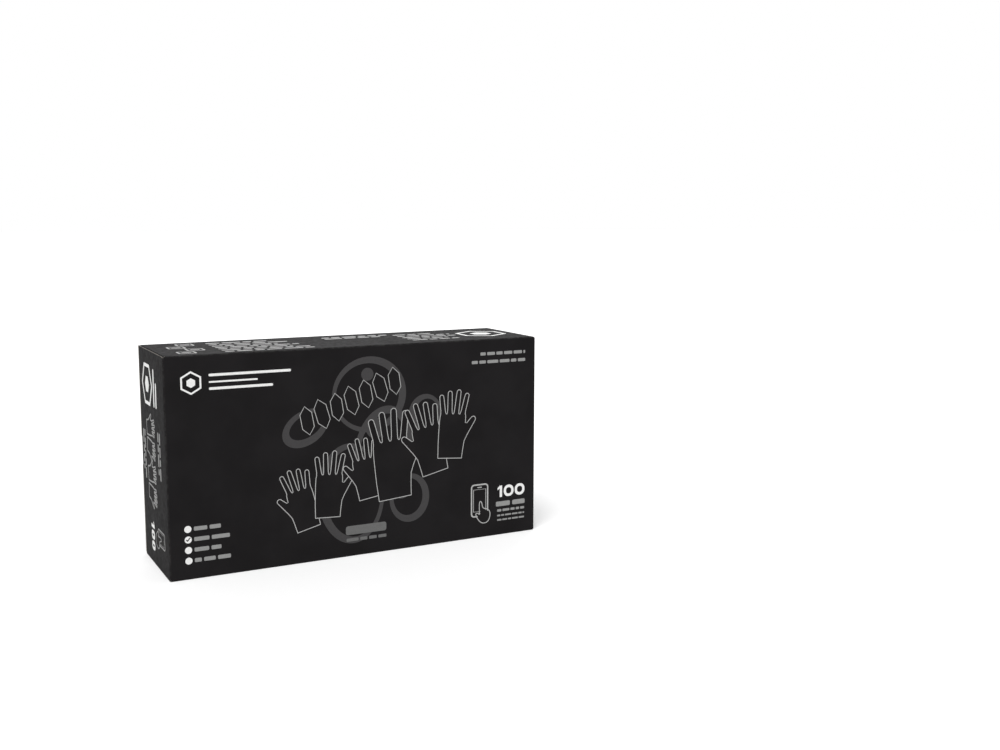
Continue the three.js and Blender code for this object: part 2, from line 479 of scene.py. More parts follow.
def board_edge():
    """The cut edge: grey pulp, with the knife's burr and a little ink drawn over it."""
    n = Nodes("board_edge")
    pulp = n.noise(1100, 4, 0.65)
    color = n.mix(n.between(pulp, 0.35, 0.65), (0.15, 0.14, 0.125), (0.27, 0.255, 0.23))
    color = n.mix(n.between(n.noise(500, 3), 0.56, 0.66), color, (0.05, 0.047, 0.045))
    n.bump((pulp, 0.5, 0.06))
    return n.finish(color, n.between(pulp, 0.3, 0.7, 0.85, 0.97), specular=0.2)


def ink(name, color):
    """Offset ink: even, with a fine mottle from the board under it."""
    n = Nodes(name)
    dim = tuple(c * 0.90 for c in color)
    n.bump((n.noise(2600, 2), 0.08, 0.02))
    roughness = n.between(n.noise(420, 4), 0.25, 0.75, 0.43, 0.55)
    return n.finish(n.mix(n.between(n.noise(900, 3)), dim, color), roughness, specular=0.2)


def nitrile():
    """Matte black nitrile film, a little dusty, with fine crinkles and a textured grip."""
    n = Nodes("nitrile")
    cloud = n.noise(45, 4)
    color = n.mix(n.between(cloud), (0.030, 0.030, 0.031), (0.045, 0.045, 0.046))
    crinkle = n.noise(240, 5, 0.6, stretch=(1, 1, 2.2))
    texture = n.noise(1700, 2)
    roughness = n.between(crinkle, 0.3, 0.7, 0.36, 0.54)
    n.bump((texture, 0.20, 0.04), (crinkle, 0.60, 0.35), (cloud, 0.3, 1.2))
    return n.finish(color, roughness, specular=0.5)


def dry_glue():
    n = Nodes("dry_glue")
    skin = n.noise(300, 4)
    color = n.mix(n.between(skin), (0.62, 0.53, 0.33), (0.76, 0.69, 0.50))
    n.bump((skin, 0.6, 0.15))
    return n.finish(color, n.between(skin, 0.3, 0.7, 0.25, 0.45), specular=0.5)


PRINTED = printed_board()
INSIDE = board_inside()
EDGE = board_edge()
WHITE = ink("white_ink", (0.80, 0.80, 0.79))
OUTLINE_GREY = ink("outline_grey_ink", (0.42, 0.42, 0.415))
LIGHT_GREY = ink("light_grey_ink", (0.27, 0.27, 0.266))
MID_GREY = ink("mid_grey_ink", (0.13, 0.13, 0.128))
DARK_GREY = ink("dark_grey_ink", (0.046, 0.044, 0.045))
NITRILE = nitrile()
GLUE = dry_glue()
BOARD_MATERIALS = [PRINTED, EDGE, INSIDE]

# ---- the carton's sleeve
seam_low, seam_high = box_mm("side_seam_flap")
BACK = DEPTH / 2
FRONT = -DEPTH / 2
LEFT = -LENGTH / 2

sleeve = Fold([
    (BACK, 0),
    (FRONT, 0),
    (FRONT, HEIGHT),
    (BACK, HEIGHT),
    (BACK, seam_high.z - BOARD),
    (seam_low.y, seam_high.z - BOARD),
])
BOTTOM_RUN, FRONT_RUN, TOP_RUN, BACK_RUN, SEAM_RUN = sleeve.runs
# How far the middle of each panel stands out of its plane. The top and the bottom sink in,
# and the back bows little, so that the raised window flap can lie on it.
BOWS = {BOTTOM_RUN: -0.25, FRONT_RUN: 0.45, TOP_RUN: -0.30, BACK_RUN: 0.20, SEAM_RUN: 0.0}


def bulge(s, run, x):
    """The share of its bow that a panel has at the length s and at x, -1 to 1 across it."""
    first, last = run
    if not first < s < last:
        return 0.0
    return math.sin(math.pi * (s - first) / (last - first)) * max(0.0, 1 - x**2)


def sleeve_point(x, s, depth):
    place, normal = sleeve.place(s, depth)
    for run, bow in BOWS.items():
        place = place + normal * (bow * bulge(s, run, 2 * x / LENGTH))
    return (x, place.x, place.y)


# Lengths along the fold at a place on each panel.
def front_s(z):
    return FRONT_RUN[0] + z - CREASE


def top_s(y):
    return TOP_RUN[0] + y - FRONT - CREASE


def back_s(z):
    return BACK_RUN[0] + HEIGHT - CREASE - z


def bottom_s(y):
    return BOTTOM_RUN[0] + BACK - y


def middle(bend):
    return (bend[0] + bend[1]) / 2


def ride_as(piece, body, slot, *nodes):
    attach(piece, body)
    if nodes:
        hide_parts(*nodes)


def bent(piece, node, start, end):
    """A board whose transform is baked into its mesh, with the part that it stands for hidden. start and
    end, the ends of its crease, are not used.
    """
    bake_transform(piece)
    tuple(start)
    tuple(end)
    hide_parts(node)


def sleeve_panel(name, node, end, s_low, s_high, holes=(), outline=None):
    """One panel with half of the folded edge on each side of it."""
    outline = outline or rectangle(-end, end, s_low, s_high)
    shape = fill([[outline, *holes]], spaced(-end, end), sleeve.rows(s_low, s_high))
    piece = slab(name, [shape], sleeve_point, BOARD, BOARD_MATERIALS)
    ride_as(piece, "carton", "printed_board", node)


# The dust flaps' creases and the closures' creases end the panels.
DUST_PLANE = box_mm("left_upper_dust_flap")[0].x
FRONT_END = LENGTH / 2 - CREASE
NARROW_END = -DUST_PLANE - CREASE

BEND_LOW, BEND_TOP_FRONT, BEND_TOP_BACK, BEND_SEAM = sleeve.bends

# ---- the window
WINDOW_HINGE = JOINTS["window_flap_hinge"]["pos_m"]
THUMB_HINGE = JOINTS["thumb_tab_hinge"]["pos_m"]
window_low, window_high = box_mm("window_flap")
thumb_high = box_mm("thumb_tab")[1]
WINDOW_TOP = WINDOW_HINGE[2] / MM
WINDOW_FOOT = THUMB_HINGE[2] / MM
WINDOW_MIDDLE = (WINDOW_TOP + WINDOW_FOOT) / 2
WINDOW_RADIUS = (WINDOW_TOP - WINDOW_FOOT) / 2
PERFORATION = window_low.z - WINDOW_FOOT
WINDOW_STRAIGHT = window_high.x + PERFORATION - WINDOW_RADIUS  # from the middle to each round end
THUMB_RADIUS = thumb_high.x
THUMB_CUT = 0.3
TAB_GRID = 2.0  # spacing of the points in the thumb tab
NICK_PITCH = 5.2
NICK_WIDTH = 0.8
NICK_STEP = 0.05  # length of a nick's sloping side
NICK_REACH = PERFORATION * 0.48  # from either side, almost to the middle of the cut
FINGER_NOTCH = 9.0
SCORE_REACH = 0.35  # how much of a flap beside its crease has close rows of points
SCORE_DEPTH = 0.12
SCORE_WIDTH = 0.25


def nicked(line, reach, bare_start=False, bare_end=False):
    """An open line with small steps of `reach` to its left: the perforation's nicks. A
    bare end has none, where the line meets the flap's crease."""
    distances = [0.0]
    for a, b in zip(line, line[1:]):
        distances.append(distances[-1] + math.dist(a, b))
    total = distances[-1]
    marks = [(distance, 0) for distance in distances]
    count = round(total / NICK_PITCH)
    for i in range(bare_start, count - bare_end):
        centre = (i + 0.5) * total / count
        first, last = centre - NICK_WIDTH / 2, centre + NICK_WIDTH / 2
        near = 2 * NICK_STEP
        marks = [mark for mark in marks if not first - near < mark[0] < last + near]
        marks += [(first, 0), (first + NICK_STEP, 1), (last - NICK_STEP, 1), (last, 0)]
    out = []
    for distance, raised in sorted(marks):
        i = max(1, int(np.searchsorted(distances, distance)))
        (ax, ay), (bx, by) = line[i - 1], line[i]
        size = distances[i] - distances[i - 1]
        along, left = (distance - distances[i - 1]) / size, reach * raised / size
        out.append((ax + (bx - ax) * along - (by - ay) * left, ay + (by - ay) * along + (bx - ax) * left))
    return out


def window_sides(inset):
    """The window's two round ends: the right one from its top to its foot, and the left
    one from its foot to its top."""
    radius = WINDOW_RADIUS - inset
    right = arc(WINDOW_STRAIGHT, WINDOW_MIDDLE, radius, 90, -90, 40)
    left = arc(-WINDOW_STRAIGHT, WINDOW_MIDDLE, radius, -90, -270, 40)
    return right, left


def to_back(loop):
    return [(x, back_s(z)) for x, z in loop]


def window_hole():
    right, left = window_sides(0)
    return to_back(nicked(right + left, -NICK_REACH, bare_start=True, bare_end=True))


def window_flap_loop():
    right, left = window_sides(PERFORATION)
    notch = THUMB_RADIUS + THUMB_CUT
    rise = math.degrees(math.asin(PERFORATION / notch))
    round_notch = arc(0, WINDOW_FOOT, notch, rise, 180 - rise, 24)
    foot = WINDOW_FOOT + PERFORATION
    foot_right = [*right[:-1], (WINDOW_STRAIGHT, foot), round_notch[0]]
    foot_left = [round_notch[-1], (-WINDOW_STRAIGHT, foot), *left[1:]]
    line = nicked(foot_right, NICK_REACH, bare_start=True) + round_notch[1:-1]
    line += nicked(foot_left, NICK_REACH, bare_end=True)
    return [*line, (-WINDOW_STRAIGHT, WINDOW_TOP), (WINDOW_STRAIGHT, WINDOW_TOP)]


def back_outline():
    end = LENGTH / 2
    centre = HEIGHT / 2
    right = arc(end, centre, FINGER_NOTCH, 90, 270)
    left = arc(-end, centre, FINGER_NOTCH, -90, 90)
    low_s, high_s = middle(BEND_SEAM), middle(BEND_TOP_BACK)
    head, foot = [(-end, high_s), (end, high_s)], [(end, low_s), (-end, low_s)]
    return head + to_back(right) + foot + to_back(left)


def make_sleeve():
    sleeve_panel("bottom_board", "bottom_panel", NARROW_END, BOTTOM_RUN[0], middle(BEND_LOW))
    sleeve_panel("front_board", "front_panel", FRONT_END, middle(BEND_LOW), middle(BEND_TOP_FRONT))
    sleeve_panel("top_board", "top_panel", NARROW_END, middle(BEND_TOP_FRONT), middle(BEND_TOP_BACK))
    sleeve_panel("back_board", "back_panel", LENGTH / 2, middle(BEND_TOP_BACK), middle(BEND_SEAM),
                 holes=[window_hole()], outline=back_outline())
    end = seam_high.x
    taper = 5.0
    outline = [(-end, middle(BEND_SEAM)), (end, middle(BEND_SEAM)),
               (end - taper, SEAM_RUN[1]), (-end + taper, SEAM_RUN[1])]
    sleeve_panel("seam_flap_board", "side_seam_flap", end, middle(BEND_SEAM), SEAM_RUN[1], outline=outline)


def scored(hinge_s):
    """place() for a flap whose crease is pressed in along the length hinge_s."""
    def place(x, s, depth):
        pressed = SCORE_DEPTH * math.exp(-((s - hinge_s) / SCORE_WIDTH) ** 2)
        return sleeve_point(x, s, depth + pressed)
    return place


def window_piece(name, node, outline, joint, columns, z_far, away):
    """A flap cut out of the back panel. Its rows of points lie close together over the first SCORE_REACH
    beside its crease. away is -1 where it hangs below the crease and 1 where it stands above it."""
    x, y, z = JOINTS[joint]["pos_m"]
    crease = z / MM
    reach = SCORE_REACH * away
    zs = {crease + reach * i / BEND_STEPS for i in range(BEND_STEPS + 1)}
    zs.update(spaced(crease + reach, z_far, GRID if away < 0 else TAB_GRID))
    shape = fill([[to_back(outline)]], columns, sorted(back_s(z) for z in zs))
    piece = slab(name, [shape], scored(back_s(crease)), BOARD, BOARD_MATERIALS)
    bent(piece, node, (x, y, z), (x, y, z + reach * MM))


def make_window():
    columns = spaced(window_low.x, window_high.x)
    window_piece("window_flap_board", "window_flap", window_flap_loop(), "window_flap_hinge", columns,
                 window_low.z, -1)
    half_disc = arc(0, WINDOW_FOOT, THUMB_RADIUS, 0, 180, 32)
    columns = spaced(-THUMB_RADIUS, THUMB_RADIUS, TAB_GRID)
    window_piece("thumb_tab_board", "thumb_tab", half_disc, "thumb_tab_hinge", columns, thumb_high.z, 1)


# ---- the ends
TUCK_LEAN = math.radians(7)
TUCK_LENGTH = 14.0
TUCK_HINGE = Vector(JOINTS["left_tuck_hinge"]["pos_m"]) / MM
TUCK_INSET = box_mm("left_tuck_flap")[0].z
tuck_along = Vector((math.cos(TUCK_LEAN), -math.sin(TUCK_LEAN)))
tuck_outward = Vector((math.sin(TUCK_LEAN), math.cos(TUCK_LEAN)))
# a point on the tuck's outer face, and where that face meets the closure's
tuck_face = TUCK_HINGE.xy + tuck_outward * BOARD
tuck_corner = Vector((LEFT, tuck_face.y + (tuck_face.x - LEFT) * math.tan(TUCK_LEAN)))

end_fold = Fold([
    (LEFT + 20, FRONT),
    (LEFT, FRONT),
    tuck_corner,
    tuck_corner + tuck_along * (TUCK_LENGTH + tuck_face.x - LEFT),
])
CLOSURE_BEND, TUCK_BEND = end_fold.bends
CLOSURE_RUN, TUCK_RUN = end_fold.runs[1:]
CLOSURE_BOW = 0.15
CLOSURE_EDGE = box_mm("left_closure_panel")[0].z
RELIEF = 0.8  # how far past its crease the closure keeps the front panel's height

DUST_LENGTH = 40.0
dust_fold = Fold([(DUST_PLANE + 20, 0), (DUST_PLANE, 0), (DUST_PLANE, DUST_LENGTH)])
DUST_BEND = dust_fold.bends[0]
DUST_RUN = dust_fold.runs[1]


def end_point(sign):
    """place() for the boards of one end; the fold is drawn for the left one."""
    def place(z, s, depth):
        point, normal = end_fold.place(s, depth)
        point = point + normal * (CLOSURE_BOW * bulge(s, CLOSURE_RUN, 2 * z / HEIGHT - 1))
        return (-sign * point.x, point.y, z)
    return place


def dust_point(sign, upper):
    def place(y, s, depth):
        point, _ = dust_fold.place(s, depth)
        return (-sign * point.x, y, HEIGHT - point.y if upper else point.y)
    return place


def closure_s(y):
    return CLOSURE_RUN[0] + y - FRONT - CREASE


def hinged(piece, fold_place, bend, node, along):
    """The ends of the piece's crease, found with fold_place at along, are passed to bent()."""
    start, end = (tuple(c * MM for c in fold_place(along, s, 0)) for s in bend)
    bent(piece, node, start, end)


def make_end(side):
    sign = SIDES[side]
    place = end_point(sign)
    low_z, high_z = CLOSURE_EDGE, HEIGHT - CLOSURE_EDGE
    outline = [
        (CREASE, CLOSURE_BEND[0]), (HEIGHT - CREASE, CLOSURE_BEND[0]),
        (HEIGHT - CREASE, CLOSURE_BEND[1]), (high_z, CLOSURE_BEND[1] + RELIEF),
        (high_z, TUCK_BEND[0]), (low_z, TUCK_BEND[0]),
        (low_z, CLOSURE_BEND[1] + RELIEF), (CREASE, CLOSURE_BEND[1]),
    ]
    rows = end_fold.rows(CLOSURE_BEND[0], TUCK_BEND[0])
    shape = fill([[outline]], spaced(CREASE, HEIGHT - CREASE), rows)
    closure = slab(f"{side}_closure_board", [shape], place, BOARD, BOARD_MATERIALS)
    hinged(closure, place, CLOSURE_BEND, f"{side}_closure_panel", HEIGHT / 2)

    foot, head = TUCK_INSET, HEIGHT - TUCK_INSET
    corner = 7.0
    lip = TUCK_RUN[1] - corner
    outline = [(head, TUCK_BEND[0]), (foot, TUCK_BEND[0])]
    outline += arc(foot + corner, lip, corner, 180, 90, 10)
    outline += arc(head - corner, lip, corner, 90, 0, 10)
    shape = fill([[outline]], spaced(foot, head), end_fold.rows(TUCK_BEND[0], TUCK_RUN[1]))
    tuck = slab(f"{side}_tuck_board", [shape], place, BOARD, BOARD_MATERIALS)
    hinged(tuck, place, TUCK_BEND, f"{side}_tuck_flap", HEIGHT / 2)

    for level in ("upper", "lower"):
        make_dust_flap(side, level)


def make_dust_flap(side, level):
    node = f"{side}_{level}_dust_flap"
    low, high = box_mm(node)
    front_slope, back_slope = 0.5, 0.12
    tip_front = low.y + front_slope * DUST_LENGTH
    tip_back = high.y - back_slope * DUST_LENGTH
    crease, tip = DUST_BEND[0], DUST_RUN[1]
    radius = 4.0
    outline = [(high.y, crease), (low.y, crease), (low.y + 0.4, crease + 2.0)]
    outline += arc(tip_front + radius, tip - radius, radius, 155, 90, 6)
    outline += arc(tip_back - radius, tip - radius, radius, 90, 5, 8)
    shape = fill([[outline]], spaced(low.y, high.y), dust_fold.rows(crease, tip))
    place = dust_point(SIDES[side], level == "upper")
    flap = slab(f"{side}_{level}_dust_board", [shape], place, BOARD, BOARD_MATERIALS)
    hinged(flap, place, DUST_BEND, node, 0)


make_sleeve()
make_window()
for side in SIDES:
    make_end(side)

# ---- gloves
GLOVE_CUFF, GLOVE_TIP = -115.6, 114.0  # the ends of a flat glove, along the carton
PALM_START, FINGER_ROOTS = -65.0, 35.0
PALM_MIDDLE, PALM_WIDTH, CUFF_WIDTH = -9.0, 96.0, 88.0
FINGER_REACH = [61, 74, 79, 69]  # little finger first
THUMB_WIDTH = 18.0
THUMB_ROOT = 62.0  # behind the roots of the fingers
THUMB_INSET = 6.0  # from the palm's side to the thumb's root
CUFF_CORNER = 1.5
LOOSE_GLOVES = 10
PACKED_LAYERS = 18
GLOVES_IN_LAYER = 5


def glove_outline(slit, fan=0.0, thumb_turn=14.0, thumb_length=46.0, rounds=2):
    """A glove laid flat, its fingers towards +X and its thumb on the +Y side."""
    low = PALM_MIDDLE - PALM_WIDTH / 2
    high = PALM_MIDDLE + PALM_WIDTH / 2
    finger = PALM_WIDTH / len(FINGER_REACH)
    half = (finger - slit) / 2
    tip = half * 0.93
    side = CUFF_WIDTH / 2
    cuff = [(GLOVE_CUFF, side - CUFF_CORNER), (GLOVE_CUFF, side), (GLOVE_CUFF + CUFF_CORNER, side),
            (GLOVE_CUFF + 22, side + 1)]
    loop = [(x, PALM_MIDDLE - y) for x, y in cuff]
    loop += [(PALM_START, low + 1), (FINGER_ROOTS - 20, low)]  # the palm widens beyond the cuff
    for i, reach in enumerate(FINGER_REACH):
        turn = fan * (i - (len(FINGER_REACH) - 1) / 2)
        centre = low + finger * (i + 0.5)
        outline = [(2, -half), (reach * 0.5, -half), *arc(reach - tip, 0, tip, -90, 90, 8)]
        outline += [(reach * 0.5, half), (2, half)]
        loop += moved(outline, FINGER_ROOTS, centre, turn)
        if i < len(FINGER_REACH) - 1:
            loop.append((FINGER_ROOTS - slit * 0.5, centre + finger / 2))
    half = THUMB_WIDTH / 2
    loop.append((FINGER_ROOTS - 8, high))
    thumb = arc(thumb_length, 0, half, -90, 90, 8)
    thumb = moved(thumb, FINGER_ROOTS - THUMB_ROOT, high - THUMB_INSET, thumb_turn)
    if thumb[0][1] > high:  # the thumb stands free, and its lower side meets the palm's here
        lean = math.radians(thumb_turn)
        along = (THUMB_INSET + half * math.cos(lean)) / math.tan(lean) + half * math.sin(lean)
        loop.append((FINGER_ROOTS - THUMB_ROOT + along + 1.5, high))
    loop += [point for point in thumb if point[1] > high]
    loop += [(PALM_START + 12, high + 1), (PALM_START - 8, high - 1)]
    loop += [(x, PALM_MIDDLE + y) for x, y in reversed(cuff)]
    return smoothed(loop, rounds)


def lying(outline, turned, shift_x, shift_z, sway):
    """The outline in the carton, moved a little, and end for end where it is turned."""
    sign = -1 if turned else 1
    outline = moved(outline, shift_x, shift_z, sway)
    return [(sign * x, sign * z + HEIGHT / 2) for x, z in outline]


FILM = 0.30  # both walls of a glove, pressed together
FINGER_SLIT = 3.0
PACKED_GAP = 0.06
LOOSE_LOW = box_mm("glove_10")[0].y + 0.05
LOOSE_STEP, UPPER_STEP, PACKED_STEP = 3.5, 2.4, 14.0  # spacing of the points in a film
UPPER_GLOVES = 2  # as many have the finest mesh


def rounded_rim(distance, reach):
    """0 at an edge, rising like a quarter circle to 1 at the distance `reach`."""
    share = np.clip(distance / reach, 0, 1)
    return np.sqrt(1 - (1 - share) ** 2)


def noise_at(points, size_x, size_z, layer):
    return np.array([noise.noise(Vector((x / size_x, z / size_z, layer * 7.3))) for x, z in points])


def almost_flat(points, height, wave):
    return height + wave * (1 + noise_at(points, 60, 50, 30))


def free_room(points):
    """1 where a glove can rise towards the window, 0 near the carton's ends, its narrow
    sides and the thumb tab."""
    x, z = points[:, 0], points[:, 1]
    along = np.clip((100 - np.abs(x)) / 34, 0, 1)
    across = np.clip((57 - np.abs(z - HEIGHT / 2)) / 20, 0, 1)
    tab = np.clip((np.hypot(x * 0.7, z - WINDOW_FOOT) - 8) / 26, 0, 1)
    room = along * across * tab
    return room * room * (3 - 2 * room)


# The two directions that a glove's long folds take.
LEAN = [np.array([[math.cos(a), -math.sin(a)], [math.sin(a), math.cos(a)]]) for a in (0.35, -0.55)]


class LooseGlove:
    """One of the gloves nearest the window. number counts from the lowest, 0, up."""

    def __init__(self, number, below, rng):
        self.number = number
        self.below = below
        self.turned = number % 2 == 0
        sway, shift = rng.uniform(-0.6, 0.6), rng.uniform(-0.5, 0.5)
        self.outline = lying(glove_outline(FINGER_SLIT), self.turned, 0.0, shift, sway)
        self.slack = 0.06 + 1.5 * (number / (LOOSE_GLOVES - 1)) ** 3

    def low(self, points):
        """The height of its lower face: what lies under it, and the slack of its folds."""
        if self.below is None:
            return almost_flat(points, LOOSE_LOW, 0.1)
        base = self.below.clear_of(points)
        leaning = points @ LEAN[self.number % 2]
        wave = noise_at(leaning, 60, 24, self.number) + 0.5 * noise_at(points, 19, 15, self.number + 20)
        crease = 1 - np.abs(noise_at(leaning, 70, 20, self.number + 40)) * 3.2
        folds = np.clip(0.30 + 1.0 * wave, 0, 2) + 1.2 * np.clip(crease, 0, 1) ** 2
        return base + PACKED_GAP + self.slack * folds * free_room(points)

    def puff(self, points):
        """How much trapped air lifts its upper wall."""
        depth = np.where(inside(points, [self.outline]), clearance(points, [self.outline]), 0.0)
        return self.slack * 0.8 * rounded_rim(depth, 8.0) * free_room(points)

    def clear_of(self, points):
        """The height above which the next glove is free."""
        return self.low(points) + FILM + self.puff(points)

    def thickness(self, points):
        rim_height = 0.3 + 0.7 * rounded_rim(clearance(points, [self.outline]), 0.6)
        return FILM * rim_height + self.puff(points)


def film(outline, step, low_at, thickness_at):
    """A closed thin shell over an outline in the plane of X and Z."""
    columns, rows = (spaced(min(values), max(values), step)[1:-1] for values in zip(*outline))
    flat, triangles = fill([[outline]], columns, rows)
    points = np.array(flat)
    low = low_at(points)
    high = low + thickness_at(points)
    top, bottom = ([(x, y, z) for (x, z), y in zip(flat, heights)] for heights in (high, low))
    return closed(top, bottom, triangles)


def bead(outline, turned, out, radius, height_at, sides=8):
    """The rolled edge of a cuff: a thin closed roll, `out` beyond the glove's end."""
    towards = 1 if turned else -1
    cuff = towards * max(towards * x for x, _ in outline)
    across = [z for x, z in outline if abs(x - cuff) < 2 * CUFF_CORNER]
    end = cuff + towards * out
    zs = spaced(min(across) + 1.0, max(across) - 1.0, 4.0)
    heights = height_at(np.array([(end, z) for z in zs]))
    points, faces = [], []
    for i, (z, y) in enumerate(zip(zs, heights)):
        size = radius * (0.35 if i in (0, len(zs) - 1) else 1.0)
        points += [(end + dx, y + radius + dy, z) for dx, dy in polygon(0, 0, size, sides)]
    for i in range(len(zs) - 1):
        for j in range(sides):
            a, b = i * sides + j, i * sides + (j + 1) % sides
            faces.append([a, b, b + sides, a + sides])
    faces += [list(range(sides))[::-1], [(len(zs) - 1) * sides + j for j in range(sides)]]
    return points, faces


def glove_piece(name, node, parts):
    points, faces = joined(parts)
    piece = make_piece(name, points, faces, [0] * len(faces), [NITRILE], sharp=50)
    ride_as(piece, "carton", "nitrile", node)


def make_loose_gloves():
    rng = random.Random(11)
    below = None
    for number in range(LOOSE_GLOVES):
        glove = LooseGlove(number, below, rng)
        index = LOOSE_GLOVES - number
        step = UPPER_STEP if index <= UPPER_GLOVES else LOOSE_STEP
        parts = [
            film(glove.outline, step, glove.low, glove.thickness),
            bead(glove.outline, glove.turned, 0.35, 0.38, glove.low),
        ]
        glove_piece(f"loose_glove_{index:02d}", f"glove_{index:02d}", parts)
        below = glove


def make_packed_layers():
    """The gloves pressed flat under the loose ones."""
    rng = random.Random(23)
    shape = glove_outline(FINGER_SLIT, rounds=1)
    for index in range(1, PACKED_LAYERS + 1):
        node = f"glove_layer_{index:02d}"
        low, high = box_mm(node)
        turned = index % 2 == 1
        parts = []
        for i in range(GLOVES_IN_LAYER):
            shift_x, shift_z = rng.uniform(-0.6, 0.6), rng.uniform(-1.2, 1.2)
            outline = lying(shape, turned, shift_x, shift_z, rng.uniform(-0.5, 0.5))
            height = low.y + i * (high.y - low.y) / GLOVES_IN_LAYER

            def low_at(points, height=height):
                return almost_flat(points, height, 0.09)

            parts.append(film(outline, PACKED_STEP, low_at, lambda points: FILM))
            parts.append(bead(outline, turned, 0.3, 0.2, low_at, sides=6))
        glove_piece(f"packed_gloves_{index:02d}", node, parts)


def make_glue():
    """Dry glue, squeezed out unevenly between the seam flap and the bottom."""
    low, high = box_mm("seam_glue_strip")
    xs = spaced(low.x, high.x, 2.5)
    ragged = [0.45 * (1 + noise.noise(Vector((x / 9, edge * 5.0, 2.0)))) for edge in (0, 1) for x in xs]
    count = len(xs)
    outline = [(x, low.y + ragged[i]) for i, x in enumerate(xs)]
    outline += [(x, high.y - ragged[count + i]) for i, x in enumerate(xs)][::-1]
    slack = 0.01

    def place(x, y, depth):
        if depth > 0:
            return (x, y, sleeve_point(x, bottom_s(y), BOARD)[2] + slack)
        return (x, y, high.z - slack)

    shape = fill([[outline]], spaced(low.x, high.x)[1:-1], spaced(low.y, high.y, 3.0)[1:-1])
    strip = slab("seam_glue", [shape], place, high.z - low.z, [GLUE] * 3)
    ride_as(strip, "carton", "dry_glue", "seam_glue_strip")


make_glue()
make_packed_layers()
make_loose_gloves()

# ---- print
INK = 0.02  # thickness of a printed shape, which lies on the board
INK_LIFT = 0.03  # of its outer face


def end_face(side):
    """Which way a place on that end is found, and the body that carries the end."""
    sign = SIDES[side]
    place = end_point(sign)
    return (lambda a, b, depth: place(b, closure_s(sign * a), depth)), f"{side}_closure"


# How a place on each face is found, and the body that carries the face. As seen by someone
# who looks at that face, a is to the right of its middle. b is up: the height above the
# floor, or on the top and the bottom the distance from the middle.
FACES = {
    "front": (lambda a, b, depth: sleeve_point(a, front_s(b), depth), "carton"),
    "top": (lambda a, b, depth: sleeve_point(a, top_s(b), depth), "carton"),
    "back": (lambda a, b, depth: sleeve_point(-a, back_s(b), depth), "carton"),
    "bottom": (lambda a, b, depth: sleeve_point(a, bottom_s(-b), depth), "carton"),
    "left_end": end_face("left"),
    "right_end": end_face("right"),
}


def lines_between(values):
    """The multiples of the grid's spacing between the lowest and the highest value."""
    return [GRID * i for i in range(math.ceil(min(values) / GRID), math.floor(max(values) / GRID) + 1)]


def printed(face, what, groups, material, lift=INK_LIFT):
    """Ink on a face. Each group is (shapes, cuts), and each shape is an outline followed
    by its holes."""
    place, body = FACES[face]
    filled = []
    for shapes, cuts in groups:
        columns, rows = map(lines_between, zip(*(point for shape in shapes for point in shape[0])))
        filled.append(fill(shapes, columns, rows, cuts))
    piece = slab(f"{face}_{what}", filled, place, INK, [material] * 3, lift)
    ride_as(piece, body, "white_ink" if material is WHITE else "grey_ink")


def turned_right(shapes, x, y):
    """The shapes turned a quarter turn clockwise and moved to (x, y)."""
    return [[moved(loop, x, y, -90) for loop in shape] for shape in shapes]


def bars(x0, x1, y0, y1, rng):
    """A line of text as plain bars, one for each word."""
    height = y1 - y0
    out = []
    x = x0
    while x < x1 - height * 0.4:
        end = min(x + height * rng.uniform(1.6, 4.2), x1)
        if x1 - end < height * 1.1:
            end = x1
        out.append([round_rectangle(x, end, y0, y1, height * 0.25, 3)])
        x = end + height * 0.55
    return out


def hexagon_mark(cx, cy, radius, stroke):
    return [band(polygon(cx, cy, radius, 6, 30), stroke), [polygon(cx, cy, radius * 0.45, 6, 30)]]


def hundred(x0, y0, width, height, stroke):
    """The count, 100, in plain figures."""
    zero = (width - stroke * 2.2) / 2 - stroke * 0.5
    stem = [(0, 0), (1, 0), (1, 1), (0, 1), (-0.95, 0.8), (-0.95, 0.62), (0, 0.76)]
    shapes = [[[(x0 + stroke * (0.9 + u), y0 + height * v) for u, v in stem]]]
    for i in range(2):
        left = x0 + stroke * 2.6 + i * (zero + stroke * 0.5)
        outer = round_rectangle(left, left + zero, y0, y0 + height, zero * 0.46, 6)
        inner = round_rectangle(left + stroke, left + zero - stroke, y0 + stroke, y0 + height - stroke,
                                (zero - 2 * stroke) * 0.46, 6)
        shapes.append([outer, inner])
    return shapes


def overlapping(loops, stroke):
    """Groups that print the outline of each loop, and shapes that cover what is behind
    them. Each loop covers the ones before it."""
    lines = [band(loop, stroke) for loop in loops]
    covers = [[line[0]] for line in lines]
    return [([line], covers[i + 1:]) for i, line in enumerate(lines)], covers


def glove_signs(places, height):
    """Gloves with their fingers up, every second one mirrored."""
    glove = glove_outline(slit=8.0, fan=7.0, thumb_turn=38.0, thumb_length=56.0, rounds=1)
    mirrored = [(x, -y) for x, y in reversed(glove)]
    scale = height / (GLOVE_TIP - GLOVE_CUFF)
    return [moved(mirrored if i % 2 else glove, x, y, 90 + turn, scale * size)
            for i, (x, y, turn, size) in enumerate(places)]


def tall_hexagons(places, width, height):
    w, h = width / 2, height / 2
    hexagon = [(w, -h / 2), (w, h / 2), (0, h), (-w, h / 2), (-w, -h / 2), (0, -h)]
    return [moved(hexagon, x, y, turn, size) for x, y, turn, size in places]


def brush_ring(cx, cy, radius_x, radius_y, turn, thin_side):
    """A ring as one drawn with a broad pen, its stroke thinnest at the angle thin_side."""
    thick, thin = 5.0, 2.4
    stroke = (thick + thin) / 2
    [(inner_x, inner_y)] = moved([((thick - thin) / 2, 0)], cx, cy, thin_side)
    return [ellipse(cx, cy, radius_x, radius_y, turn),
            ellipse(inner_x, inner_y, radius_x - stroke, radius_y - stroke, turn)]


def rising_row(first, last, count, turns, sizes):
    """Places from first to last, each (x, y, turn, size)."""
    places = []
    for i in range(count):
        share = i / (count - 1)
        x, y = (a + (b - a) * share for a, b in zip(first, last))
        places.append((x, y, turns[i % len(turns)], sizes[i % len(sizes)]))
    return places


